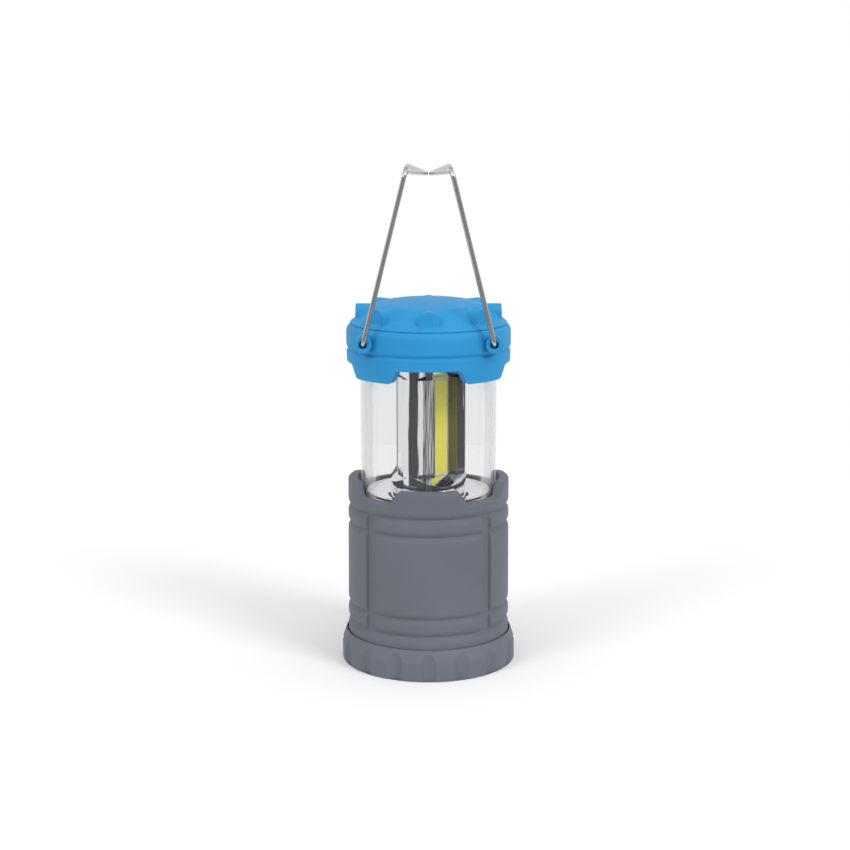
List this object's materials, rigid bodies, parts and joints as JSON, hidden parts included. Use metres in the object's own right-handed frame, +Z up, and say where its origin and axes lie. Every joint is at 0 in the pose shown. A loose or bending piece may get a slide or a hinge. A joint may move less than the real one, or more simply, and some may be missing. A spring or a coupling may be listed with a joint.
{
  "type": "collapsible camping lantern",
  "caption": "Pull-up camping lantern: ribbed twist-off body, clear sliding tube over a chrome reflector column with light strips, and folding wire bails.",
  "frame": {"origin": "centre of the flat underside the lantern stands on", "axes": "+Z up through the hanging point, front of the lantern towards -Y, the bails' hinge axes along Y"},
  "size_m": [0.0896, 0.0896, 0.2546],
  "materials": {
    "grey_shell": "soft matt rubberised coat",
    "grey_cap": "soft matt rubberised coat",
    "blue_shell": "soft matt rubberised coat",
    "white_plastic": "moulded",
    "chrome_plate": "bright vacuum plating",
    "chrome_wire": "bright plated wire",
    "screw_steel": "zinc plated",
    "brass_contact": "plain",
    "black_rubber": "matt",
    "clear_lens": "clear polystyrene",
    "dark_plastic": "moulded",
    "board_white": "white solder mask on aluminium",
    "phosphor": "yellow phosphor layer",
    "lead_red": "insulated lead",
    "board_green": "circuit board",
    "chip_black": "moulded",
    "cell_wrap": "plain sleeve",
    "spring_steel": "nickel plated"
  },
  "bodies": {
    "base": {"body_shell": "grey_shell", "core_housing": "white_plastic", "reflector_dish": "chrome_plate", "core_screws": "screw_steel", "switch_bridge": "brass_contact"},
    "head": {"reflector_column": "chrome_plate", "head_ring": "blue_shell", "head_dome": "blue_shell", "head_gasket": "black_rubber", "dome_pins": "screw_steel", "lens_tube": "clear_lens", "tube_stop_ring": "dark_plastic", "column_head": "white_plastic", "head_screws": "screw_steel", "column_screws": "screw_steel", "cob_board_1": "board_white", "cob_board_2": "board_white", "cob_board_3": "board_white", "cob_strip_1": "phosphor", "cob_strip_2": "phosphor", "cob_strip_3": "phosphor", "cob_lead_1": "lead_red", "cob_lead_2": "lead_red", "cob_lead_3": "lead_red", "driver_board": "board_green", "driver_parts": "chip_black", "cell_1": "cell_wrap", "cell_2": "cell_wrap", "cell_3": "cell_wrap", "contact_deck": "dark_plastic", "top_contact": "brass_contact", "top_strap": "brass_contact", "return_rod": "brass_contact", "battery_door": "dark_plastic", "door_screws": "screw_steel", "bottom_strap": "brass_contact", "bottom_contact": "brass_contact", "battery_spring_1": "spring_steel", "battery_spring_2": "spring_steel", "switch_leaf_1": "brass_contact", "switch_leaf_2": "brass_contact"},
    "left_bail": {"bail_left": "chrome_wire"},
    "right_bail": {"bail_right": "chrome_wire"},
    "base_gasket": {"cap_gasket": "black_rubber"},
    "base_cap": {"bottom_cap": "grey_cap"}
  },
  "joints": [
    {"name": "pull_up", "type": "slide", "parent": "base", "child": "head", "axis": [0, 0, 1], "range_m": [-0.0598, 0]},
    {"name": "left_bail_fold", "type": "hinge", "parent": "head", "child": "left_bail", "pos_m": [-0.0322, 0, 0.1696], "axis": [0, -1, 0], "range_deg": [0, 190]},
    {"name": "right_bail_fold", "type": "hinge", "parent": "head", "child": "right_bail", "pos_m": [0.0322, 0, 0.1696], "axis": [0, 1, 0], "range_deg": [0, 190]},
    {"name": "cap_drop", "type": "slide", "parent": "base", "child": "base_gasket", "axis": [0, 0, -1], "range_m": [0, 0.0111]},
    {"name": "cap_unscrew", "type": "hinge", "parent": "base_gasket", "child": "base_cap", "pos_m": [0, 0, 0], "axis": [0, 0, -1], "range_deg": [0, 330]}
  ],
  "couplings": [
    {"joint": "cap_drop", "follows": "cap_unscrew", "m_per_rad": 0.0019099}
  ]
}
